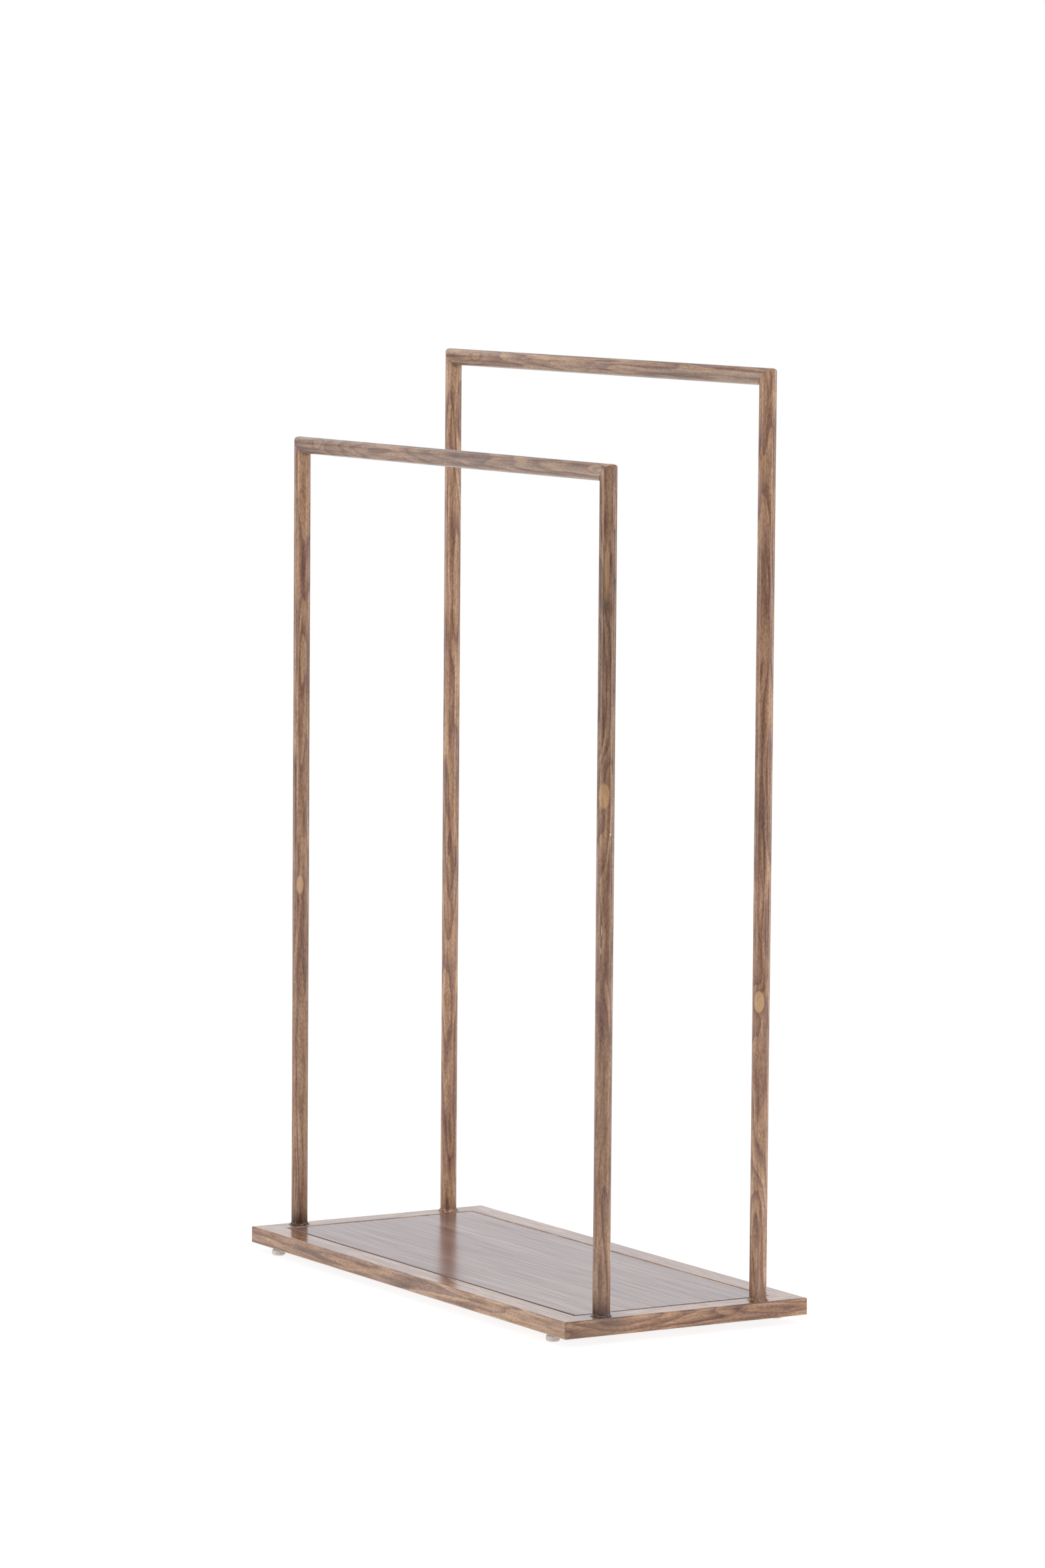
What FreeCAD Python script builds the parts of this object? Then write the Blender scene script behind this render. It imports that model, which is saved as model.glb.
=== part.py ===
import FreeCAD, Part
import math
import os

# Free-standing towel rack: two inverted-U frames of round steel tube, one taller than the other,
# welded to a rectangular base of flat steel tube that carries a board almost level with it and stands on
# four screw-in levelling feet. Millimetres. X runs along the bars, Y from the lower frame (front)
# to the taller one (rear), Z up. The origin is on the floor under the middle of the base.

Vec = FreeCAD.Vector
UP = Vec(0, 0, 1)
ORIGIN = Vec(0, 0, 0)

# ---- driving dimensions -------------------------------------------------------------------
base_length = 550.0
base_depth = 245.0

rail_width = 25.0
rail_height = 15.0
rail_wall = 1.5
rail_edge_radius = 2.0          # outer edges of the rectangular tube
base_corner_radius = 2.0        # ground corners of the mitred base

tube_diameter = 15.0
tube_wall = 1.5
front_frame_height = 721.0      # top of the lower towel bar above the base
rear_frame_height = 799.0       # top of the taller towel bar above the base
frame_spacing = 158.0           # between the planes of the two frames
frame_corner_radius = 3.0       # ground outer corners of the mitred frames
weld_leg = 3.0                  # bead round the foot of each upright

panel_thickness = 8.0
panel_recess = 0.1
panel_gap = 1.5
panel_edge_break = 0.4

crossbar_width = 20.0
crossbar_thickness = 3.0
crossbar_spacing = 300.0

screw_diameter = 3.5
screw_length = 9.5
screw_head_diameter = 7.4
screw_head_height = 2.0
screw_spacing = 120.0           # along each crossbar
screw_slot_width = 0.9
screw_slot_length = 4.2
screw_slot_depth = 1.4

stud_diameter = 6.0
stud_length = 14.4              # threaded length above its head
stud_head_diameter = 8.0
stud_head_height = 1.8
stud_end_chamfer = 0.8
running_clearance = 0.05        # radial, between the stud and what it turns in

insert_body_diameter = 9.0
insert_length = 10.0
insert_flange_diameter = 11.0
insert_flange_thickness = 0.8
insert_bulge_diameter = 12.0    # the collar formed when the insert is set
insert_bulge_height = 2.0

foot_diameter = 12.0
foot_height = 5.7
foot_top_chamfer = 1.1
foot_bottom_radius = 1.6
foot_floor = 2.0                # solid plastic under the stud's head
foot_flutes = 24
foot_flute_radius = 0.35
foot_gap = 0.7                  # between the foot and its insert, as set up
foot_inset_x = 35.0             # foot axis from the end of the base
foot_inset_y = 9.5              # foot axis from the long side of the base

# ---- heights and places that follow -------------------------------------------------------
rail_bottom = foot_height + foot_gap + insert_flange_thickness
base_top = rail_bottom + rail_height
panel_top = base_top - panel_recess
panel_bottom = panel_top - panel_thickness
crossbar_bottom = panel_bottom - crossbar_thickness
opening_length = base_length - 2 * rail_width
opening_depth = base_depth - 2 * rail_width
upright_x = (base_length - rail_width) / 2
frame_half_length = upright_x + tube_diameter / 2

LEFT, RIGHT = ("left", -1), ("right", 1)
FRONT, REAR = ("front", -1), ("rear", 1)
CORNERS = [(f"{end}_{side}", x, y) for end, y in (FRONT, REAR) for side, x in (LEFT, RIGHT)]


# ---- shape helpers ------------------------------------------------------------------------
def centred_box(length, depth, height, z, x=0.0, y=0.0):
    return Part.makeBox(length, depth, height, Vec(x - length / 2, y - depth / 2, z))


def prism(points, push):
    """A flat outline through the points, pushed along a vector."""
    corners = [Vec(*point) for point in points]
    return Part.Face(Part.makePolygon(corners + corners[:1])).extrude(Vec(*push))


def turned(profile, x, y):
    """A ring or disc turned about a vertical axis at x, y from (radius, height) points."""
    corners = [Vec(radius, 0, height) for radius, height in profile]
    face = Part.Face(Part.makePolygon(corners + corners[:1]))
    solid = face.revolve(ORIGIN, UP, 360)
    solid.translate(Vec(x, y, 0))
    return solid


def edges_along(solid, axis, keep=lambda centre: True):
    """The straight edges that run along an axis and whose middle passes the test."""
    found = []
    for edge in solid.Edges:
        if isinstance(edge.Curve, Part.Line):
            along = abs(edge.tangentAt(edge.FirstParameter).dot(axis))
            if along > 0.999 and keep(edge.CenterOfMass):
                found.append(edge)
    return found


def rounded_bar(box, axis, radius):
    return box.makeFillet(radius, edges_along(box, axis))


# ---- base: four mitred rails --------------------------------------------------------------
def mitre_wedge(name):
    """The part of the base that one rail keeps, cut at 45 degrees at both ends."""
    half_x, half_y = base_length / 2, base_depth / 2
    in_x, in_y = half_x - rail_width, half_y - rail_width
    outlines = {
        "front": [(-half_x, -half_y), (half_x, -half_y), (in_x, -in_y), (-in_x, -in_y)],
        "rear": [(-half_x, half_y), (half_x, half_y), (in_x, in_y), (-in_x, in_y)],
        "left": [(-half_x, -half_y), (-half_x, half_y), (-in_x, in_y), (-in_x, -in_y)],
        "right": [(half_x, -half_y), (half_x, half_y), (in_x, in_y), (in_x, -in_y)],
    }
    points = [(x, y, rail_bottom) for x, y in outlines[name]]
    return prism(points, (0, 0, rail_height))


def rail_tube(name):
    """The rectangular tube of one rail before its ends are mitred."""
    along_x = name in ("front", "rear")
    axis = Vec(1, 0, 0) if along_x else Vec(0, 1, 0)
    length = base_length if along_x else base_depth
    sign = -1 if name in ("front", "left") else 1
    offset = sign * ((base_depth if along_x else base_length) - rail_width) / 2

    def block(width, height, z):
        if along_x:
            return centred_box(length, width, height, z, 0, offset)
        return centred_box(width, length, height, z, offset, 0)

    outer = rounded_bar(block(rail_width, rail_height, rail_bottom), axis, rail_edge_radius)
    inner = rounded_bar(
        block(rail_width - 2 * rail_wall, rail_height - 2 * rail_wall, rail_bottom + rail_wall),
        axis,
        rail_edge_radius - rail_wall,
    )
    return outer.cut(inner)


def base_outline():
    block = centred_box(base_length, base_depth, rail_height, rail_bottom)
    return rounded_bar(block, UP, base_corner_radius)


def foot_place(x_sign, y_sign):
    x = x_sign * (base_length / 2 - foot_inset_x)
    y = y_sign * (base_depth / 2 - foot_inset_y)
    return x, y


def make_rails():
    rails = {}
    for name in ("front", "rear", "left", "right"):
        rail = rail_tube(name).common(mitre_wedge(name)).common(base_outline())
        for end, y_sign in (FRONT, REAR):
            if end == name:
                for _, x_sign in (LEFT, RIGHT):
                    x, y = foot_place(x_sign, y_sign)
                    hole = Part.makeCylinder(
                        insert_body_diameter / 2, rail_wall, Vec(x, y, rail_bottom)
                    )
                    rail = rail.cut(hole)
        rails[f"rail_{name}"] = rail
    return rails


# ---- base: board, crossbars and their screws ----------------------------------------------
def screw_body():
    """A countersunk wood screw, head down, with its head's face at height 0."""
    shank = screw_diameter / 2
    tip = screw_diameter
    profile = [
        (0, 0),
        (screw_head_diameter / 2, 0),
        (shank, screw_head_height),
        (shank, screw_length - tip),
        (0, screw_length),
    ]
    return turned(profile, 0, 0)


def screw_places():
    for x_sign in (-1, 1):
        for y_sign in (-1, 1):
            yield Vec(x_sign * crossbar_spacing / 2, y_sign * screw_spacing / 2, crossbar_bottom)


def placed(shape, where):
    moved = shape.copy()
    moved.translate(where)
    return moved


def make_board_and_crossbars():
    board = centred_box(
        opening_length - 2 * panel_gap, opening_depth - 2 * panel_gap, panel_thickness, panel_bottom
    )
    top_edges = [
        edge
        for edge in board.Edges
        if min(vertex.Point.z for vertex in edge.Vertexes) > panel_top - 0.01
    ]
    board = board.makeChamfer(panel_edge_break, top_edges)
    crossbars = {
        f"crossbar_{side}": centred_box(
            crossbar_width,
            opening_depth,
            crossbar_thickness,
            crossbar_bottom,
            sign * crossbar_spacing / 2,
        )
        for side, sign in (LEFT, RIGHT)
    }
    body = screw_body()
    recess = centred_box(screw_slot_length, screw_slot_width, screw_slot_depth, 0).fuse(
        centred_box(screw_slot_width, screw_slot_length, screw_slot_depth, 0)
    )
    screw = body.cut(recess)
    for where in screw_places():
        board = board.cut(placed(body, where))
        for name in crossbars:
            crossbars[name] = crossbars[name].cut(placed(body, where))
    screws = Part.makeCompound([placed(screw, where) for where in screw_places()])
    return {"base_panel": board, **crossbars, "panel_screws": screws}


# ---- the two towel frames -----------------------------------------------------------------
def round_tube(start, direction, length):
    outer = Part.makeCylinder(tube_diameter / 2, length, start, direction)
    inner = Part.makeCylinder(tube_diameter / 2 - tube_wall, length, start, direction)
    return outer.cut(inner)


def frame_outline(y, bottom, top):
    """The outside of a frame seen from the front, with its top corners ground round."""
    block = Part.makeBox(
        2 * frame_half_length,
        tube_diameter,
        top - bottom,
        Vec(-frame_half_length, y - tube_diameter / 2, bottom),
    )
    top_corners = edges_along(block, Vec(0, 1, 0), lambda centre: centre.z > top - 1)
    return block.makeFillet(frame_corner_radius, top_corners)


def make_frame(end, y, height):
    bottom, top = base_top, base_top + height
    outline = frame_outline(y, bottom, top)
    front_y = y - tube_diameter / 2
    depth = (0, tube_diameter, 0)
    outer, inner = frame_half_length, frame_half_length - tube_diameter
    corner = top - tube_diameter

    bar = round_tube(
        Vec(-frame_half_length, y, top - tube_diameter / 2), Vec(1, 0, 0), 2 * frame_half_length
    )
    bar_keeps = prism(
        [
            (-outer, front_y, top),
            (outer, front_y, top),
            (inner, front_y, corner),
            (-inner, front_y, corner),
        ],
        depth,
    )
    pieces = {f"towel_bar_{end}": bar.common(bar_keeps).common(outline)}
    for side, sign in (LEFT, RIGHT):
        upright = round_tube(Vec(sign * upright_x, y, bottom), UP, height)
        upright_keeps = prism(
            [
                (sign * outer, front_y, bottom),
                (sign * inner, front_y, bottom),
                (sign * inner, front_y, corner),
                (sign * outer, front_y, top),
            ],
            depth,
        )
        pieces[f"upright_{end}_{side}"] = upright.common(upright_keeps).common(outline)
    return pieces


def make_weld(x, y):
    """The bead that joins one upright to its rail: a sloping ring round the tube."""
    flat = rail_width / 2 - rail_edge_radius - tube_diameter / 2
    leg = min(weld_leg, flat)
    inner = tube_diameter / 2
    lip = 0.3
    profile = [
        (inner, base_top),
        (inner + leg, base_top),
        (inner + leg, base_top + lip),
        (inner + lip, base_top + leg),
        (inner, base_top + leg),
    ]
    return turned(profile, x, y)


# ---- levelling feet -----------------------------------------------------------------------
def make_insert(x, y):
    """A threaded rivet insert set in the rail's lower wall, its thread modelled plain."""
    bore = stud_diameter / 2 + running_clearance
    body = insert_body_diameter / 2
    wall_top = rail_bottom + rail_wall
    profile = [
        (bore, rail_bottom - insert_flange_thickness),
        (insert_flange_diameter / 2, rail_bottom - insert_flange_thickness),
        (insert_flange_diameter / 2, rail_bottom),
        (body, rail_bottom),
        (body, wall_top),
        (insert_bulge_diameter / 2, wall_top + insert_bulge_height / 2),
        (body, wall_top + insert_bulge_height),
        (body, rail_bottom + insert_length),
        (bore, rail_bottom + insert_length),
    ]
    return turned(profile, x, y)


def make_stud(x, y):
    """The screw of a foot: a round head inside the plastic and a plain threaded length."""
    head_top = foot_floor + stud_head_height
    radius = stud_diameter / 2
    end = head_top + stud_length
    profile = [
        (0, foot_floor),
        (stud_head_diameter / 2, foot_floor),
        (stud_head_diameter / 2, head_top),
        (radius, head_top),
        (radius, end - stud_end_chamfer),
        (radius - stud_end_chamfer, end),
        (0, end),
    ]
    return turned(profile, x, y)


def make_foot(x, y):
    """The fluted plastic foot moulded round the head of its stud."""
    radius = foot_diameter / 2
    disc = Part.makeCylinder(radius, foot_height)
    rims = [edge for edge in disc.Edges if isinstance(edge.Curve, Part.Circle)]
    disc = disc.makeFillet(foot_bottom_radius, [rim for rim in rims if rim.CenterOfMass.z < 0.1])
    rims = [edge for edge in disc.Edges if isinstance(edge.Curve, Part.Circle)]
    top_rim = [rim for rim in rims if rim.CenterOfMass.z > foot_height - 0.1]
    disc = disc.makeChamfer(foot_top_chamfer, top_rim)
    for step in range(foot_flutes):
        angle = 2 * math.pi * step / foot_flutes
        middle = Vec(radius * math.cos(angle), radius * math.sin(angle), foot_bottom_radius)
        disc = disc.cut(Part.makeCylinder(foot_flute_radius, foot_height, middle))
    pocket = Part.makeCylinder(
        stud_head_diameter / 2 + running_clearance,
        stud_head_height + 2 * running_clearance,
        Vec(0, 0, foot_floor - running_clearance),
    )
    neck = Part.makeCylinder(
        stud_diameter / 2 + running_clearance, foot_height, Vec(0, 0, foot_floor)
    )
    foot = disc.cut(pocket.fuse(neck))
    foot.translate(Vec(x, y, 0))
    return foot


# ---- assembly -----------------------------------------------------------------------------
def make_rack():
    nodes = {}
    nodes.update(make_rails())
    nodes.update(make_board_and_crossbars())
    nodes.update(make_frame("front", -frame_spacing / 2, front_frame_height))
    nodes.update(make_frame("rear", frame_spacing / 2, rear_frame_height))
    for corner, x_sign, y_sign in CORNERS:
        nodes[f"weld_{corner}"] = make_weld(x_sign * upright_x, y_sign * frame_spacing / 2)
        x, y = foot_place(x_sign, y_sign)
        nodes[f"insert_{corner}"] = make_insert(x, y)
        nodes[f"stud_{corner}"] = make_stud(x, y)
        nodes[f"foot_{corner}"] = make_foot(x, y)
    return nodes


os.makedirs("parts", exist_ok=True)
for node, shape in make_rack().items():
    solids = shape.Solids
    if not solids or not all(solid.isValid() for solid in solids):
        raise ValueError(f"{node} is not made of valid solids")
    whole = solids[0] if len(solids) == 1 else Part.makeCompound(solids)
    whole.exportStep(f"parts/{node}.step")
    print(node, len(solids), round(sum(solid.Volume for solid in solids), 1))
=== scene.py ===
import math

import bmesh
import bpy
from mathutils import Matrix, Vector, noise


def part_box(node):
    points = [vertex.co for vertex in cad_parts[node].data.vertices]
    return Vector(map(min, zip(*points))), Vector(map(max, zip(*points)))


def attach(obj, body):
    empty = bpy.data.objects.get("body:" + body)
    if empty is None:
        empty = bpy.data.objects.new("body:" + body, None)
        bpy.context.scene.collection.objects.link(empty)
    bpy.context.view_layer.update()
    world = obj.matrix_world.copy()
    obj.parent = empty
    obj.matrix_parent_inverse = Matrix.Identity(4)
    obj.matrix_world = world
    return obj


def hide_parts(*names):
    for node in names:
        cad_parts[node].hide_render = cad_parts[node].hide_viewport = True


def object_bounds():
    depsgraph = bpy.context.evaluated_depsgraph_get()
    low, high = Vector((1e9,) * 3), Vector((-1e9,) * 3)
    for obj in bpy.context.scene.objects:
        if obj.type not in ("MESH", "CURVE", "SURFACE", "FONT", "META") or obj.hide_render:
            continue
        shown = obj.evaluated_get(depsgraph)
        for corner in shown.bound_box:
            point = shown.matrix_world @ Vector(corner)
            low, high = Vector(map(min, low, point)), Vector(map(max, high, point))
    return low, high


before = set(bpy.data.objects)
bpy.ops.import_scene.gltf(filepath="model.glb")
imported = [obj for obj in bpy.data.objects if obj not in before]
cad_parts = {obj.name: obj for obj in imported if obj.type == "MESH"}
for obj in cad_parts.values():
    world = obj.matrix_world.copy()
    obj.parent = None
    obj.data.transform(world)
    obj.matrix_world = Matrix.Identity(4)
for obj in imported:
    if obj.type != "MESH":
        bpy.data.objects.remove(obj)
cad_low, cad_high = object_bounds()

MM = 0.001
CORNERS = ("front_left", "front_right", "rear_left", "rear_right")
RACK_TOP = cad_high.z
TUBE_RADIUS = 7.5 * MM


# ---------------------------------------------------------------- small helpers

def colour(code):
    """An sRGB hex colour as linear red, green, blue and alpha."""
    shares = [int(code[i:i + 2], 16) / 255 for i in (1, 3, 5)]
    linear = [s / 12.92 if s <= 0.04045 else ((s + 0.055) / 1.055) ** 2.4 for s in shares]
    return (*linear, 1.0)


def add(tree, kind, inputs=None, stops=None, **settings):
    """Adds one node. Inputs are values or outputs to link, stops are the points of a colour ramp."""
    node = tree.nodes.new(kind)
    for name, value in settings.items():
        setattr(node, name, value)
    for key, value in (inputs or {}).items():
        if isinstance(value, bpy.types.NodeSocket):
            tree.links.new(value, node.inputs[key])
        else:
            node.inputs[key].default_value = value
    if stops:
        ramp = node.color_ramp.elements
        while len(ramp) < len(stops):
            ramp.new(1.0)
        for element, (place, code) in zip(ramp, stops):
            element.position = place
            element.color = colour(code)
    return node


def start_material(name, **finish):
    """A new material with its Principled shader, whose sockets take the finish's values."""
    material = bpy.data.materials.new(name)
    material.use_nodes = True
    shader = material.node_tree.nodes["Principled BSDF"]
    for socket, value in finish.items():
        shader.inputs[socket.replace("_", " ")].default_value = value
    return material, material.node_tree, shader


def cell(along, across_mm, length_mm):
    """Mapping scale that makes one noise cell across_mm wide and length_mm long down the grain."""
    return tuple(1000 / (length_mm if axis == along else across_mm) for axis in "XYZ")


def spot_on(node, right, back, up):
    """A place given in millimetres from the middle of the underside of a CAD node."""
    low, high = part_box(node)
    return Vector(((low.x + high.x) / 2, (low.y + high.y) / 2, low.z)) + Vector(
        (right, back, up)) * MM


# ---------------------------------------------------------------- finishes

# A knot, pale oval, painted glint or painted shade in the walnut print: the CAD node it is on, its
# centre as spot_on takes it, half width and half length in millimetres, how many rings it adds round
# itself, its colour, how strong that is, and the share of its reach at which its edge starts to
# fade.
UPRIGHT_PATCHES = (
    ("upright_front_right", (6.1, -4.4, 633.8), 2.7, 27.0, 0.3, "#cda277", 0.55, 0.45),
    ("upright_front_right", (5.5, -5.3, 601.8), 7.0, 10.0, 0.4, "#5d4438", 0.60, 0.20),
    ("upright_front_right", (4.7, -5.8, 459.8), 7.0, 18.0, 1.0, "#6f5243", 0.35, 0.70),
    ("upright_front_right", (5.5, -5.3, 442.8), 5.2, 11.5, 0.0, "#d0a574", 0.50, 0.80),
    ("upright_rear_right", (4.7, -5.8, 258.8), 6.4, 12.5, 1.0, "#6f5243", 0.30, 0.84),
    ("upright_rear_right", (5.3, -5.7, 258.8), 5.2, 10.0, 0.0, "#d3aa7c", 0.50, 0.80),
    ("upright_front_left", (6.5, -4.5, 313.8), 3.6, 9.0, 0.4, "#cfa680", 0.55, 0.80),
    # These three pale dashes are painted highlights: glints off small lumps in the coat.
    ("upright_front_right", (7.5, 0.4, 410.3), 0.6, 1.5, 0.0, "#f3ece4", 0.75, 0.50),
    ("upright_front_right", (4.7, -5.9, 328.8), 0.5, 6.0, 0.0, "#e6d8cb", 0.60, 0.40),
    ("upright_front_right", (4.3, -6.2, 311.8), 0.5, 4.0, 0.0, "#e6d8cb", 0.55, 0.40),
)
BAR_PATCHES = (
    ("towel_bar_front", (-222.0, -6.5, 9.8), 4.2, 9.0, 1.3, "#b08a68", 0.20, 0.70),
    ("towel_bar_rear", (-212.0, -6.5, 9.8), 4.0, 11.0, 1.1, "#b08a68", 0.20, 0.70),
    ("towel_bar_front", (252.0, -5.0, 8.8), 6.0, 8.0, 0.6, "#6a4f44", 0.45, 0.20),
)
SHORT_RAIL_PATCHES = (
    # This first patch is painted shade on the rail round the foot of the right front upright.
    ("rail_right", (1.5, -77.0, 15.0), 24.0, 32.0, 0.0, "#5d463d", 0.80, 0.20),
    ("rail_right", (12.5, 101.5, 7.8), 2.6, 3.2, 0.25, "#6b5148", 0.50, 0.10),
)
# A longer stretch of darker heartwood or paler sapwood: the CAD node it is on, its centre, half
# length in millimetres, and the share by which the print is lighter or darker there.
UPRIGHT_STRETCHES = (
    ("upright_front_right", (0.0, 0.0, 567.8), 120, -0.22),
    ("upright_rear_right", (0.0, 0.0, 617.8), 95, -0.06),
    ("upright_rear_right", (0.0, 0.0, 410.8), 26, -0.30),
    ("upright_rear_right", (0.0, 0.0, 377.8), 900, 0.25),
    ("upright_front_left", (0.0, 0.0, 357.8), 900, 0.09),
    ("upright_front_left", (0.0, 0.0, 657.8), 160, 0.23),
    ("upright_rear_left", (0.0, 0.0, 377.8), 900, 0.26),
    ("upright_rear_left", (0.0, 0.0, 77.8), 200, 0.20),
)
BAR_STRETCHES = (
    ("towel_bar_front", (0.0, 0.0, 7.8), 900, -0.09),
    ("towel_bar_front", (170.0, 0.0, 7.8), 70, -0.06),
    ("towel_bar_front", (-120.0, 0.0, 7.8), 90, 0.06),
    ("towel_bar_rear", (0.0, 0.0, 7.8), 900, -0.10),
)
LONG_RAIL_STRETCHES = (
    ("rail_front", (0.0, -12.5, 5.3), 900, 0.10),
)
SHORT_RAIL_STRETCHES = (
    ("rail_right", (12.5, 40.0, 5.3), 160, 0.36),
)
# Lengths of the walnut figure from one swing of the rings to the next, in millimetres.
BAR_FIGURE = 330
LONG_RAIL_FIGURE = 520
SHORT_RAIL_FIGURE = 230
UPRIGHT_FIGURE = 340

# How many rings the print's slow field is cut into, and how far the grain sways from its line.
RING_COUNT = 15.0
SWAY = 13 * MM
# A patch bends the rings fully inside the first share of its reach, and not at all past the second.
PATCH_BEND = (0.2, 1.7)
PATCH_RIM = 1.04
# A stretch's tone is full up to the first share of its reach, and gone at the second. Its reach
# across the tube, in millimetres, is wider than the tube.
STRETCH_FADE = (0.35, 1.1)
STRETCH_WIDTH = 30
# The painted shade at the foot of an upright, in the corner over the weld: where it starts and ends
# above the rail, how strong it is on the front frame, the share of that on the rear one, and the Y
# where each share is reached.
FOOT_SHADE_START = 2 * MM
FOOT_SHADE_REACH = 30 * MM
FOOT_SHADE_STRENGTH = 0.95
FOOT_SHADE_ON_REAR = 0.4
FOOT_SHADE_FADES_OVER = 60 * MM
# How deep each surface's own texture is.
PEEL_DEPTH = 0.02 * MM
PEBBLE_DEPTH = 0.04 * MM
SPARK_DEPTH = 0.02 * MM
# For patterns that run no way in particular.
EVERY_WAY = ""


def reach_from(tree, coordinates, centre, along, half_width, half_length):
    """How far a point is from a centre, where 1 is the rim of a long oval of that half size."""
    offset = add(tree, "ShaderNodeVectorMath", {0: coordinates, 1: centre}, operation="SUBTRACT")
    scaled = add(tree, "ShaderNodeVectorMath",
                 {0: offset.outputs[0], 1: cell(along, half_width, half_length)},
                 operation="MULTIPLY")
    return add(tree, "ShaderNodeVectorMath", {0: scaled.outputs[0]},
               operation="LENGTH").outputs["Value"]


def lay_patches(tree, coordinates, along, rings, patches):
    """Bends the rings round each patch, and gives them back with each patch's mask and colour."""
    masks = []
    for node, place, half_width, half_length, ring_lift, code, strength, edge_start in patches:
        centre = spot_on(node, *place)
        reach = reach_from(tree, coordinates, centre, along, half_width, half_length)
        core = add(tree, "ShaderNodeMapRange",
                   {"Value": reach, "From Min": PATCH_BEND[0], "From Max": PATCH_BEND[1],
                    "To Min": 1.0, "To Max": 0.0}, interpolation_type="SMOOTHSTEP")
        rings = add(tree, "ShaderNodeMath",
                    {0: core.outputs[0], 1: ring_lift / RING_COUNT, 2: rings},
                    operation="MULTIPLY_ADD").outputs[0]
        edge = add(tree, "ShaderNodeMapRange",
                   {"Value": reach, "From Min": edge_start, "From Max": PATCH_RIM,
                    "To Min": strength, "To Max": 0.0}, interpolation_type="SMOOTHSTEP")
        masks.append((edge.outputs[0], code))
    return rings, masks


def tone_of_stretches(tree, coordinates, along, stretches):
    """The factor that lightens or darkens the print, 1 outside every stretch."""
    factor = 1.0
    for node, place, half_length, share in stretches:
        centre = spot_on(node, *place)
        reach = reach_from(tree, coordinates, centre, along, STRETCH_WIDTH, half_length)
        core = add(tree, "ShaderNodeMapRange",
                   {"Value": reach, "From Min": STRETCH_FADE[0], "From Max": STRETCH_FADE[1],
                    "To Min": share, "To Max": 0.0}, interpolation_type="SMOOTHSTEP")
        factor = add(tree, "ShaderNodeMath", {0: core.outputs[0], 1: factor},
                     operation="ADD").outputs[0]
    return factor


def paint_shade_above_welds(tree, flowing, wood, rail_top):
    """Painted shade in the corner over the weld: the foot of the upright is painted darker,
    more on the front frame than on the rear one."""
    spot = add(tree, "ShaderNodeSeparateXYZ", {"Vector": flowing})
    depth = add(tree, "ShaderNodeMapRange",
                {"Value": spot.outputs["Y"], "From Min": -FOOT_SHADE_FADES_OVER,
                 "From Max": FOOT_SHADE_FADES_OVER, "To Min": 1.0, "To Max": FOOT_SHADE_ON_REAR})
    rise = add(tree, "ShaderNodeMapRange",
               {"Value": spot.outputs["Z"], "From Min": rail_top + FOOT_SHADE_START,
                "From Max": rail_top + FOOT_SHADE_REACH, "To Min": FOOT_SHADE_STRENGTH, "To Max": 0.0},
               interpolation_type="SMOOTHERSTEP")
    foot_shade = add(tree, "ShaderNodeMath", {0: rise.outputs[0], 1: depth.outputs[0]},
                operation="MULTIPLY")
    return add(tree, "ShaderNodeMix",
               {"Factor": foot_shade.outputs[0], "A": wood, "B": colour("#7b5f54")},
               data_type="RGBA", blend_type="MULTIPLY").outputs[2]


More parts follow.
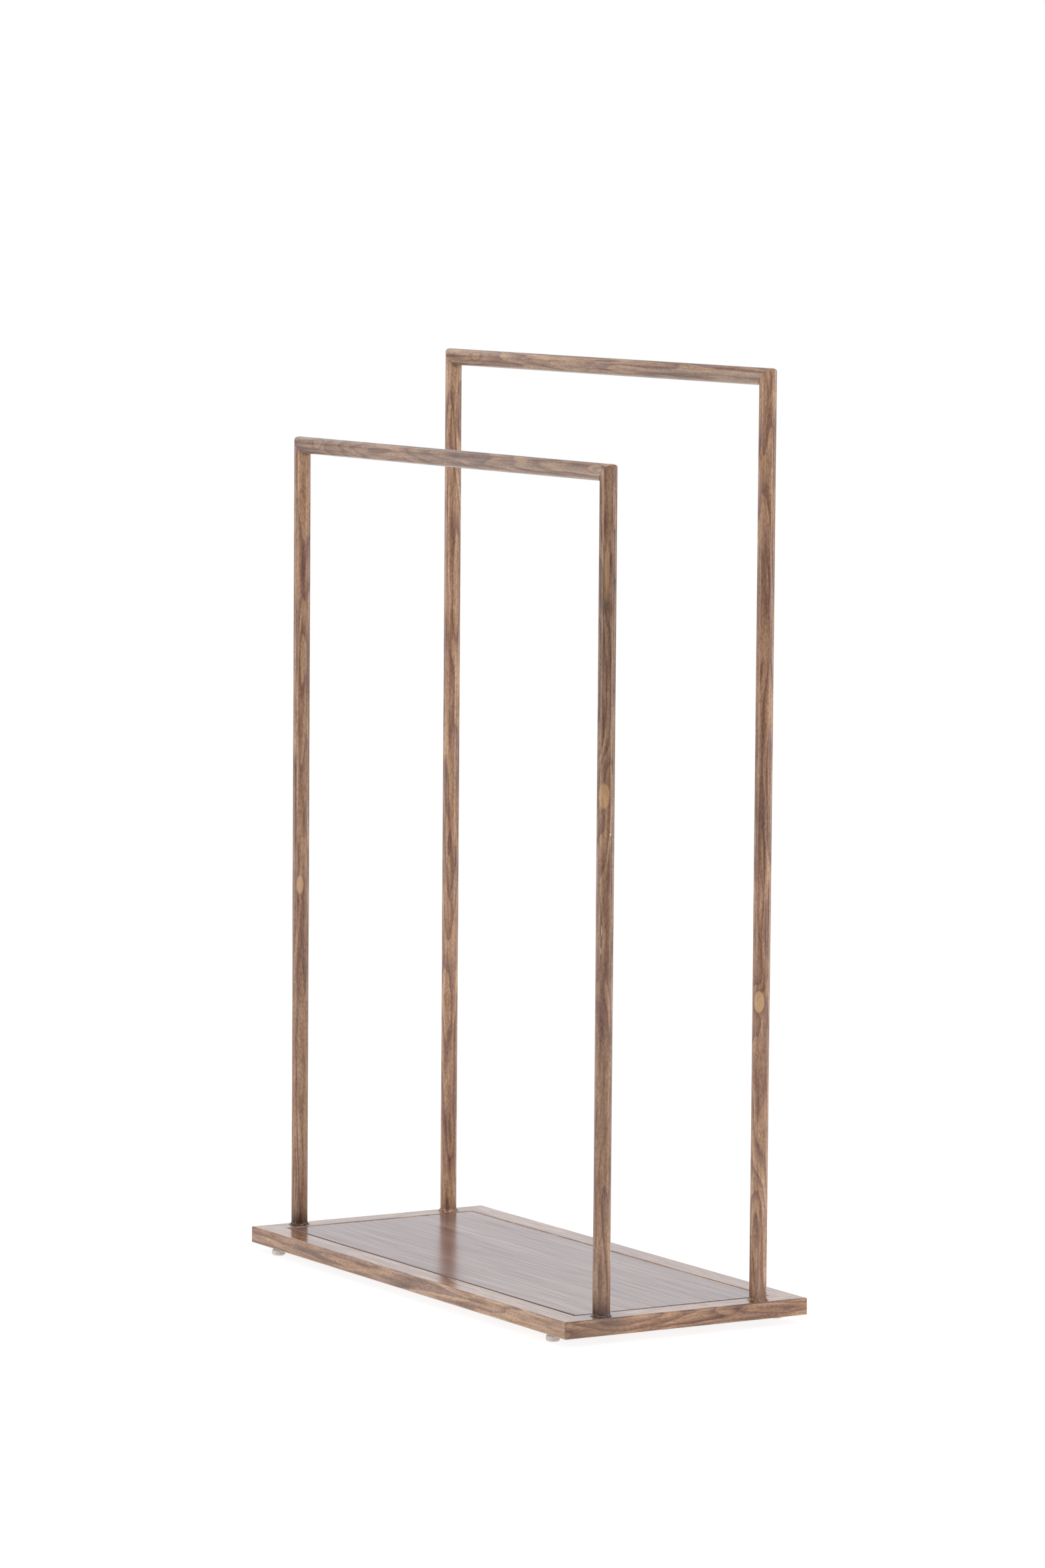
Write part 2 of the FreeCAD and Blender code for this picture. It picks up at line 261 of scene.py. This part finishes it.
def walnut_print(name, along, figure_length, patches=(), stretches=(), shaded_above=None):
    """Steel tube under a brown powder coat that carries a walnut print, with a clear satin
    lacquer over it. The eye sees flowing brown grain with no depth of its own, under one smooth
    even gloss."""
    material, tree, shader = start_material(
        name, Roughness=0.45, Specular_IOR_Level=0.0,
        Coat_Weight=1.0, Coat_Roughness=0.17, Coat_IOR=1.5)
    coordinates = add(tree, "ShaderNodeTexCoord").outputs["Object"]

    # The grain wanders a few millimetres from side to side as it runs down the tube.
    wander_space = add(tree, "ShaderNodeMapping",
                       {"Vector": coordinates, "Scale": cell(along, 30, 130)})
    wander = add(tree, "ShaderNodeTexNoise",
                 {"Vector": wander_space.outputs[0], "Scale": 1.0, "Detail": 2.0})
    flowing = add(tree, "ShaderNodeVectorMath",
                  {0: wander.outputs["Color"], 1: (SWAY, SWAY, SWAY), 2: coordinates},
                  operation="MULTIPLY_ADD").outputs[0]

    # Growth rings are the level lines of one slow field, drawn out along the tube.
    ring_space = add(tree, "ShaderNodeMapping",
                     {"Vector": flowing, "Scale": cell(along, 30, figure_length)})
    field = add(tree, "ShaderNodeTexNoise",
                {"Vector": ring_space.outputs[0], "Scale": 1.0, "Detail": 2.0, "Roughness": 0.45})
    rings, masks = lay_patches(tree, coordinates, along, field.outputs["Fac"], patches)
    count = add(tree, "ShaderNodeMath", {0: rings, 1: RING_COUNT}, operation="MULTIPLY")
    phase = add(tree, "ShaderNodeMath", {0: count.outputs[0]}, operation="FRACT")
    bands = add(tree, "ShaderNodeValToRGB", {"Fac": phase.outputs[0]}, stops=(
        (0.0, "#c2a387"), (0.30, "#c3a588"), (0.62, "#af907a"), (0.86, "#97796b"),
        (0.93, "#95776a"), (1.0, "#b39480")))

    # Slow changes of tone: heartwood reds and greys in some stretches, straw in others.
    broad_space = add(tree, "ShaderNodeMapping", {"Vector": flowing, "Scale": cell(along, 45, 200)})
    broad = add(tree, "ShaderNodeTexNoise",
                {"Vector": broad_space.outputs[0], "Scale": 1.0, "Detail": 3.0, "Roughness": 0.6})
    tone = add(tree, "ShaderNodeValToRGB", {"Fac": broad.outputs["Fac"]}, stops=(
        (0.30, "#d2c9c7"), (0.46, "#ebe4e0"), (0.62, "#ffffff")))
    toned = add(tree, "ShaderNodeMix",
                {"Factor": 1.0, "A": bands.outputs[0], "B": tone.outputs[0]},
                data_type="RGBA", blend_type="MULTIPLY")

    # Soft streaks of darker fibre 2 to 4 mm wide.
    streak_space = add(tree, "ShaderNodeMapping", {"Vector": flowing, "Scale": cell(along, 3.0, 34)})
    streak = add(tree, "ShaderNodeTexNoise",
                 {"Vector": streak_space.outputs[0], "Scale": 1.0, "Detail": 2.5,
                  "Roughness": 0.5})
    streaks = add(tree, "ShaderNodeValToRGB", {"Fac": streak.outputs["Fac"]}, stops=(
        (0.30, "#ad988c"), (0.46, "#dccfc6"), (0.66, "#ffffff")))
    streaked = add(tree, "ShaderNodeMix",
                   {"Factor": 0.8, "A": toned.outputs[2], "B": streaks.outputs[0]},
                   data_type="RGBA", blend_type="MULTIPLY")

    # Pores in short dashes. They are about 0.3 mm wide on the print, which is too fine to show,
    # so they are drawn 0.8 mm wide and faint.
    pore_space = add(tree, "ShaderNodeMapping", {"Vector": flowing, "Scale": cell(along, 0.8, 3.6)})
    pore = add(tree, "ShaderNodeTexNoise",
               {"Vector": pore_space.outputs[0], "Scale": 1.0, "Detail": 2.0, "Roughness": 0.6})
    pores = add(tree, "ShaderNodeValToRGB", {"Fac": pore.outputs["Fac"]}, stops=(
        (0.30, "#a69386"), (0.50, "#e2d9d1"), (0.68, "#ffffff")))
    wood = add(tree, "ShaderNodeMix",
               {"Factor": 0.75, "A": streaked.outputs[2], "B": pores.outputs[0]},
               data_type="RGBA", blend_type="MULTIPLY").outputs[2]

    for mask, code in masks:
        wood = add(tree, "ShaderNodeMix", {"Factor": mask, "A": wood, "B": colour(code)},
                   data_type="RGBA").outputs[2]
    if stretches:
        factor = tone_of_stretches(tree, coordinates, along, stretches)
        wood = add(tree, "ShaderNodeVectorMath", {0: wood, "Scale": factor},
                   operation="SCALE").outputs[0]
    # Painted shade at the foot of each upright, in the corner over the weld.
    if shaded_above is not None:
        wood = paint_shade_above_welds(tree, flowing, wood, shaded_above)
    tree.links.new(wood, shader.inputs["Base Color"])

    # The powder flows out to a faint orange peel, which only the reflections show.
    peel_space = add(tree, "ShaderNodeMapping",
                     {"Vector": coordinates, "Scale": cell(EVERY_WAY, 3.0, 3.0)})
    peel = add(tree, "ShaderNodeTexNoise",
               {"Vector": peel_space.outputs[0], "Scale": 1.0, "Detail": 1.0})
    bump = add(tree, "ShaderNodeBump",
               {"Strength": 1.0, "Distance": PEEL_DEPTH, "Height": peel.outputs["Fac"]})
    tree.links.new(bump.outputs[0], shader.inputs["Coat Normal"])
    return material


def walnut_board():
    """Fibreboard faced with a printed walnut melamine sheet, pressed flat and glossy.
    The eye sees fine straight grain that the sheen half hides at a low angle."""
    material, tree, shader = start_material("walnut_melamine_board", Roughness=0.2, IOR=1.5)
    place = add(tree, "ShaderNodeTexCoord").outputs["Object"]

    # Straight bands of figure about 22 mm wide run the length of the board.
    space = add(tree, "ShaderNodeMapping", {"Vector": place, "Scale": cell("X", 22, 420)})
    figure = add(tree, "ShaderNodeTexNoise",
                 {"Vector": space.outputs[0], "Scale": 1.0, "Detail": 4.0, "Roughness": 0.6})
    ramp = add(tree, "ShaderNodeValToRGB", {"Fac": figure.outputs["Fac"]}, stops=(
        (0.32, "#76594f"), (0.48, "#846a62"), (0.60, "#8e756c"), (0.72, "#9a8178")))

    # Fine dark lines 1.6 mm apart lie over them, and the sheet is a little less glossy there.
    fine_space = add(tree, "ShaderNodeMapping", {"Vector": place, "Scale": cell("X", 1.6, 110)})
    fine = add(tree, "ShaderNodeTexNoise",
               {"Vector": fine_space.outputs[0], "Scale": 1.0, "Detail": 2.0, "Roughness": 0.6})
    lines = add(tree, "ShaderNodeValToRGB", {"Fac": fine.outputs["Fac"]}, stops=(
        (0.30, "#a5938c"), (0.44, "#dcd3ce"), (0.62, "#ffffff")))
    both = add(tree, "ShaderNodeMix", {"Factor": 1.0, "A": ramp.outputs[0], "B": lines.outputs[0]},
               data_type="RGBA", blend_type="MULTIPLY")
    tree.links.new(both.outputs[2], shader.inputs["Base Color"])
    sheen = add(tree, "ShaderNodeMapRange",
                {"Value": fine.outputs["Fac"], "From Min": 0.3, "From Max": 0.7,
                 "To Min": 0.26, "To Max": 0.18})
    tree.links.new(sheen.outputs[0], shader.inputs["Roughness"])
    return material


def brown_base_coat():
    """The plain brown powder that is sprayed and baked on before the print. The eye sees a matt
    brown with a fine pebble about 1 mm across."""
    material, tree, shader = start_material("brown_base_powder", Roughness=0.55, IOR=1.5)
    place = add(tree, "ShaderNodeTexCoord").outputs["Object"]
    space = add(tree, "ShaderNodeMapping", {"Vector": place, "Scale": cell(EVERY_WAY, 0.9, 0.9)})
    pebble = add(tree, "ShaderNodeTexNoise",
                 {"Vector": space.outputs[0], "Scale": 1.0, "Detail": 2.0})
    ramp = add(tree, "ShaderNodeValToRGB", {"Fac": pebble.outputs["Fac"]}, stops=(
        (0.3, "#5f4a3f"), (0.7, "#735b4e")))
    tree.links.new(ramp.outputs[0], shader.inputs["Base Color"])
    bump = add(tree, "ShaderNodeBump",
               {"Strength": 1.0, "Distance": PEBBLE_DEPTH, "Height": pebble.outputs["Fac"]})
    tree.links.new(bump.outputs[0], shader.inputs["Normal"])
    return material


def zinc_plate():
    """Bright zinc, plated on cold-headed steel. The eye sees a cool grey metal with soft cloudy
    patches in its shine."""
    material, tree, shader = start_material("bright_zinc_plate", Metallic=1.0)
    place = add(tree, "ShaderNodeTexCoord").outputs["Object"]
    space = add(tree, "ShaderNodeMapping", {"Vector": place, "Scale": cell(EVERY_WAY, 1.6, 1.6)})
    cloud = add(tree, "ShaderNodeTexNoise",
                {"Vector": space.outputs[0], "Scale": 1.0, "Detail": 4.0})
    ramp = add(tree, "ShaderNodeValToRGB", {"Fac": cloud.outputs["Fac"]}, stops=(
        (0.3, "#b4b8bb"), (0.7, "#cfd1cf")))
    tree.links.new(ramp.outputs[0], shader.inputs["Base Color"])
    dull = add(tree, "ShaderNodeMapRange",
               {"Value": cloud.outputs["Fac"], "To Min": 0.22, "To Max": 0.42})
    tree.links.new(dull.outputs[0], shader.inputs["Roughness"])
    return material


def moulded_nylon():
    """Off-white nylon from a spark-eroded mould. The eye sees a soft sheen, with a little light
    under the skin."""
    material, tree, shader = start_material(
        "off_white_nylon", Roughness=0.42, IOR=1.53, Subsurface_Weight=0.15,
        Subsurface_Scale=0.6 * MM)
    place = add(tree, "ShaderNodeTexCoord").outputs["Object"]
    space = add(tree, "ShaderNodeMapping", {"Vector": place, "Scale": cell(EVERY_WAY, 2.5, 2.5)})
    mottle = add(tree, "ShaderNodeTexNoise",
                 {"Vector": space.outputs[0], "Scale": 1.0, "Detail": 3.0})
    ramp = add(tree, "ShaderNodeValToRGB", {"Fac": mottle.outputs["Fac"]}, stops=(
        (0.3, "#cdc7bf"), (0.7, "#dcd7cf")))
    tree.links.new(ramp.outputs[0], shader.inputs["Base Color"])

    # The mould's grit is near 0.05 mm, which is too fine to show, so it is drawn 0.35 mm wide.
    grain_space = add(tree, "ShaderNodeMapping",
                      {"Vector": place, "Scale": cell(EVERY_WAY, 0.35, 0.35)})
    grain = add(tree, "ShaderNodeTexNoise", {"Vector": grain_space.outputs[0], "Scale": 1.0})
    bump = add(tree, "ShaderNodeBump",
               {"Strength": 1.0, "Distance": SPARK_DEPTH, "Height": grain.outputs["Fac"]})
    tree.links.new(bump.outputs[0], shader.inputs["Normal"])
    return material


def dress_cad_nodes(finishes):
    """Gives every CAD node the finish of the first entry that its name starts with."""
    for name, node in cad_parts.items():
        finish = next(f for start, f in finishes if name.startswith(start))
        node.data.materials.clear()
        node.data.materials.append(finish)


# ---------------------------------------------------------------- pieces

def mesh_piece(name, points, faces, finish):
    """A closed smooth mesh that rides with the rack."""
    mesh = bpy.data.meshes.new(name)
    mesh.from_pydata(points, [], faces)
    shape = bmesh.new()
    shape.from_mesh(mesh)
    bmesh.ops.recalc_face_normals(shape, faces=shape.faces)
    shape.to_mesh(mesh)
    shape.free()
    mesh.shade_smooth()
    mesh.materials.append(finish)
    piece = bpy.data.objects.new(name, mesh)
    bpy.context.scene.collection.objects.link(piece)
    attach(piece, "rack")
    return piece


def loops_to_faces(rows, columns, closed_rows):
    """Quads between neighbouring rows of a grid whose columns always close on themselves."""
    last = rows if closed_rows else rows - 1
    return [(i * columns + j, i * columns + (j + 1) % columns,
             (i + 1) % rows * columns + (j + 1) % columns, (i + 1) % rows * columns + j)
            for i in range(last) for j in range(columns)]


WELD_STEPS = 180
WELD_FACE_STEPS = 12
# How far the bead's edges run into the tube and the rail, so that no gap shows.
WELD_BITE = 0.12 * MM
WELD_LIFT = 0.06 * MM
WELD_BASE_DEPTH = 0.4 * MM
WELD_BASE_INSET = 0.6 * MM


def weld_bead(corner, finish):
    """A hand-laid fillet weld round the foot of an upright, hollow where it was dressed back.
    Its ripples are left rough, and the coats and the print went on over them."""
    low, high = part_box(f"weld_{corner}")
    centre = (low + high) / 2
    leg = high.z - low.z
    seed = Vector((centre.x * 40, centre.y * 40, 3.0))
    points = []
    for i in range(WELD_STEPS):
        turn = 2 * math.pi * i / WELD_STEPS
        outward = Vector((math.cos(turn), math.sin(turn), 0))
        # The bead's legs swell and shrink once or twice round the tube, with small ripples on top.
        slow = noise.noise(seed + outward * 1.2)
        uneven = noise.noise(seed + outward * 3.4 + Vector((0, 0, 5)))
        rise = leg * (1.10 + 0.45 * slow + 0.08 * uneven)
        skirt = leg * (1.15 + 0.35 * slow - 0.12 * uneven)
        rough = max(0.0, 0.45 + 1.3 * noise.noise(seed * 2 + outward * 1.4))
        for k in range(WELD_FACE_STEPS):
            share = k / (WELD_FACE_STEPS - 1)
            # A hollow fillet: its two legs run out tangent to the tube and to the rail.
            radius = TUBE_RADIUS - WELD_BITE + skirt * share ** 2
            height = low.z + WELD_LIFT + rise * (1 - share) ** 2 - WELD_BITE * share ** 4
            # Its face is lumpy in the middle and smooth where it meets the tube and the rail.
            belly = math.sin(math.pi * share) ** 2
            spot = Vector((outward.x * 2.4, outward.y * 2.4, share * 1.4)) + seed * 3
            proud = belly * leg * (0.08 + rough * 0.34 * noise.noise(spot))
            points.append(centre.xy.to_3d() + outward * (radius + proud * 0.7)
                          + Vector((0, 0, height + proud * 0.7)))
        sunk = centre.xy.to_3d() + Vector((0, 0, low.z - WELD_BASE_DEPTH))
        points.append(sunk + outward * (TUBE_RADIUS + skirt * 0.7))
        points.append(sunk + outward * (TUBE_RADIUS - WELD_BASE_INSET))
    faces = loops_to_faces(WELD_STEPS, WELD_FACE_STEPS + 2, True)
    bead = mesh_piece(f"weld_bead_{corner}", points, faces, finish)
    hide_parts(f"weld_{corner}")
    return bead


SPATTER_RINGS = 10
SPATTER_STEPS = 20
SPATTER_RADIUS = 1.7 * MM
SPATTER_PLACE = (4.9, -9.3, 1.2)
SPATTER_SQUASH = Vector((1.15, 1.0, 0.85))
# The drop's two ends are closed with flat caps that reach this far from its axis, in degrees.
SPATTER_CAP = 6


def spatter_ball(finish):
    """A drop of weld metal stuck to the rail beside the right rear upright, coated over."""
    centre = spot_on("weld_rear_right", *SPATTER_PLACE)
    points = []
    for i in range(SPATTER_RINGS + 1):
        tilt = math.radians(SPATTER_CAP + (180 - 2 * SPATTER_CAP) * i / SPATTER_RINGS)
        for j in range(SPATTER_STEPS):
            turn = 2 * math.pi * j / SPATTER_STEPS
            ray = Vector((math.sin(tilt) * math.cos(turn), math.sin(tilt) * math.sin(turn),
                          math.cos(tilt)))
            uneven = 1 + 0.16 * noise.noise(ray * 1.7)
            points.append(centre + ray * SPATTER_SQUASH * SPATTER_RADIUS * uneven)
    faces = loops_to_faces(SPATTER_RINGS + 1, SPATTER_STEPS, False)
    faces.append(tuple(range(SPATTER_STEPS)))
    faces.append(tuple(SPATTER_RINGS * SPATTER_STEPS + j for j in reversed(range(SPATTER_STEPS))))
    return mesh_piece("spatter_ball", points, faces, finish)


SEAM_STEPS = 40
SEAM_FACE_STEPS = 8
SEAM_LEG = 2.0 * MM
SEAM_BITE = 0.25 * MM
# The seam runs this far to each side of the middle of the inside corner, in degrees.
SEAM_HALF_TURN = 84


def corner_fillet(row, side, finish):
    """The weld in the inside of a frame's top corner, dressed to a small hollow fillet."""
    low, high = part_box(f"towel_bar_{row}")
    sign = 1 if side == "right" else -1
    corner = Vector((high.x if side == "right" else low.x, (low.y + high.y) / 2, high.z))
    crossing = corner + Vector((-sign * TUBE_RADIUS, 0, -TUBE_RADIUS))
    points = []
    for i in range(SEAM_STEPS + 1):
        turn = math.radians(SEAM_HALF_TURN * (2 * i / SEAM_STEPS - 1))
        inward = math.cos(turn) * TUBE_RADIUS
        seam = crossing + Vector((-sign * inward, math.sin(turn) * TUBE_RADIUS, -inward))
        uneven = 1 + 0.20 * noise.noise(seam * 260)
        leg = SEAM_LEG * math.cos(turn) * uneven
        on_bar = seam + Vector((-sign * leg, 0, 0))
        on_upright = seam + Vector((0, 0, -leg))
        for k in range(SEAM_FACE_STEPS + 1):
            share = k / SEAM_FACE_STEPS
            points.append(on_bar * (1 - share) ** 2 + seam * 2 * share * (1 - share)
                          + on_upright * share ** 2)
        into_bar = Vector((0, -math.sin(turn), math.cos(turn))) * SEAM_BITE
        into_upright = Vector((sign * math.cos(turn), -math.sin(turn), 0)) * SEAM_BITE
        points.append(on_upright + into_upright)
        points.append(seam + into_upright + into_bar)
        points.append(on_bar + into_bar)
    columns = SEAM_FACE_STEPS + 4
    faces = loops_to_faces(SEAM_STEPS + 1, columns, False)
    faces.append(tuple(range(columns)))
    faces.append(tuple(SEAM_STEPS * columns + j for j in reversed(range(columns))))
    return mesh_piece(f"corner_fillet_{row}_{side}", points, faces, finish)


# ---------------------------------------------------------------- studio

CAMERA_AZIMUTH = math.radians(58.9)
CAMERA_TILT = math.radians(5.73)
CAMERA_ROLL = math.radians(0.43)
CAMERA_DISTANCE = 5.658
SENSOR_WIDTH = 36
FOCAL_LENGTH = 147.4
# The camera aims at a point this high on the rack's middle line, moved right and up in its view.
AIM_HEIGHT = 0.400
AIM_RIGHT = -0.002
AIM_UP = 0.0471


def place_camera():
    """A long lens a little above the board, that sees the right end and the front of the rack."""
    back = Vector((math.sin(CAMERA_AZIMUTH) * math.cos(CAMERA_TILT),
                   -math.cos(CAMERA_AZIMUTH) * math.cos(CAMERA_TILT), math.sin(CAMERA_TILT)))
    right = Vector((math.cos(CAMERA_AZIMUTH), math.sin(CAMERA_AZIMUTH), 0))
    up = back.cross(right)
    aim = Vector((0, 0, AIM_HEIGHT)) + right * AIM_RIGHT + up * AIM_UP
    rolled_right = right * math.cos(CAMERA_ROLL) + up * math.sin(CAMERA_ROLL)
    rolled_up = back.cross(rolled_right)
    lens = bpy.data.cameras.new("camera")
    lens.sensor_width = SENSOR_WIDTH
    lens.lens = FOCAL_LENGTH
    camera = bpy.data.objects.new("camera", lens)
    camera.matrix_world = Matrix.Translation(aim + back * CAMERA_DISTANCE) @ Matrix(
        (rolled_right, rolled_up, back)).transposed().to_4x4()
    bpy.context.scene.collection.objects.link(camera)
    bpy.context.scene.camera = camera


# Each softbox: name, turn from the camera in degrees, distance from the middle and height of its
# centre in metres, width and height in metres, brightness and tint.
SOFTBOXES = (
    ("bank_left", -66, 2.2, 1.0, 1.2, 2.2, 1.9, "#ffffff"),
    ("bank_right", 66, 2.2, 1.0, 1.2, 2.2, 1.9, "#ffffff"),
    ("side_left", -112, 2.2, 1.0, 0.8, 2.2, 1.5, "#ffffff"),
    ("side_right", 106, 2.2, 1.0, 0.5, 2.2, 2.4, "#ffffff"),
    ("background_glow", 180, 4.5, 0.9, 4.0, 2.2, 0.68, "#f4f8ff"),
    ("overhead", 0, 0.01, 2.6, 2.4, 2.4, 1.9, "#ffffff"),
    ("back_high", -147, 4.0, 2.4, 2.8, 1.6, 0.8, "#ffffff"),
)
# A softbox nearer to the rack's middle line than this hangs overhead and faces down.
OVERHEAD_WITHIN = 0.5
# What the rack reflects where there is no softbox.
ROOM_TINT = "#fdfdff"
ROOM_BRIGHTNESS = 0.469


def softbox(name, azimuth, distance, centre_height, width, height, brightness, tint):
    """A soft rectangular lamp that faces the rack. Brightness 1 looks as white as paper."""
    lamp = bpy.data.lights.new(name, "AREA")
    lamp.shape = "RECTANGLE"
    lamp.size = width
    lamp.size_y = height
    lamp.energy = brightness * math.pi * width * height
    lamp.color = colour(tint)[:3]
    box = bpy.data.objects.new(name, lamp)
    turn = math.radians(azimuth) + CAMERA_AZIMUTH
    box.location = (math.sin(turn) * distance, -math.cos(turn) * distance, centre_height)
    facing = Vector((0, 0, RACK_TOP / 2)) - box.location
    if distance > OVERHEAD_WITHIN:
        facing.z = 0
    box.rotation_mode = "QUATERNION"
    box.rotation_quaternion = facing.to_track_quat("-Z", "Y")
    box.visible_camera = False
    bpy.context.scene.collection.objects.link(box)


def light_studio():
    """White to the camera, dim to reflections, so that the lamps draw the highlights."""
    world = bpy.data.worlds.new("studio")
    world.use_nodes = True
    bpy.context.scene.world = world
    tree = world.node_tree
    tree.nodes.clear()
    seen = add(tree, "ShaderNodeLightPath")
    dim = add(tree, "ShaderNodeBackground",
              {"Color": colour(ROOM_TINT), "Strength": ROOM_BRIGHTNESS})
    white = add(tree, "ShaderNodeBackground", {"Color": colour("#ffffff"), "Strength": 1.0})
    both = add(tree, "ShaderNodeMixShader",
               {0: seen.outputs["Is Camera Ray"], 1: dim.outputs[0], 2: white.outputs[0]})
    add(tree, "ShaderNodeOutputWorld", {"Surface": both.outputs[0]})
    for lamp in SOFTBOXES:
        softbox(*lamp)


FLOOR_RADIUS = 2.6
FLOOR_STEPS = 96
FLOOR_GLOW = 0.86


def lay_floor():
    """A round sheet of matt paper, lit a little from below so that it comes out plain white."""
    mesh = bpy.data.meshes.new("floor")
    rim = [(math.cos(2 * math.pi * i / FLOOR_STEPS) * FLOOR_RADIUS,
            math.sin(2 * math.pi * i / FLOOR_STEPS) * FLOOR_RADIUS, 0)
           for i in range(FLOOR_STEPS)]
    mesh.from_pydata(rim, [], [tuple(range(FLOOR_STEPS))])
    material, _, _ = start_material(
        "pale_floor", Roughness=0.9, IOR=1.3, Base_Color=colour("#828282"),
        Emission_Color=colour("#ffffff"), Emission_Strength=FLOOR_GLOW)
    mesh.materials.append(material)
    floor = bpy.data.objects.new("floor", mesh)
    bpy.context.scene.collection.objects.link(floor)


# ---------------------------------------------------------------- build

rail_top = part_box("rail_left")[1].z
bar_print = walnut_print(
    "walnut_print_on_bars", "X", BAR_FIGURE, BAR_PATCHES, BAR_STRETCHES)
long_rail_print = walnut_print(
    "walnut_print_on_long_rails", "X", LONG_RAIL_FIGURE, stretches=LONG_RAIL_STRETCHES)
short_rail_print = walnut_print(
    "walnut_print_on_short_rails", "Y", SHORT_RAIL_FIGURE, SHORT_RAIL_PATCHES,
    SHORT_RAIL_STRETCHES)
upright_print = walnut_print(
    "walnut_print_on_uprights", "Z", UPRIGHT_FIGURE, UPRIGHT_PATCHES, UPRIGHT_STRETCHES,
    shaded_above=rail_top)
zinc = zinc_plate()
dress_cad_nodes((
    ("rail_front", long_rail_print),
    ("rail_rear", long_rail_print),
    ("rail_", short_rail_print),
    ("towel_bar", bar_print),
    ("upright", upright_print),
    ("weld", upright_print),
    ("base_panel", walnut_board()),
    ("crossbar", brown_base_coat()),
    ("panel_screws", zinc),
    ("insert", zinc),
    ("stud", zinc),
    ("foot", moulded_nylon()),
))
for corner in CORNERS:
    weld_bead(corner, upright_print)
spatter_ball(bar_print)
for row in ("front", "rear"):
    for side in ("left", "right"):
        corner_fillet(row, side, bar_print)

place_camera()
light_studio()
lay_floor()
bpy.context.scene.view_settings.view_transform = "Standard"
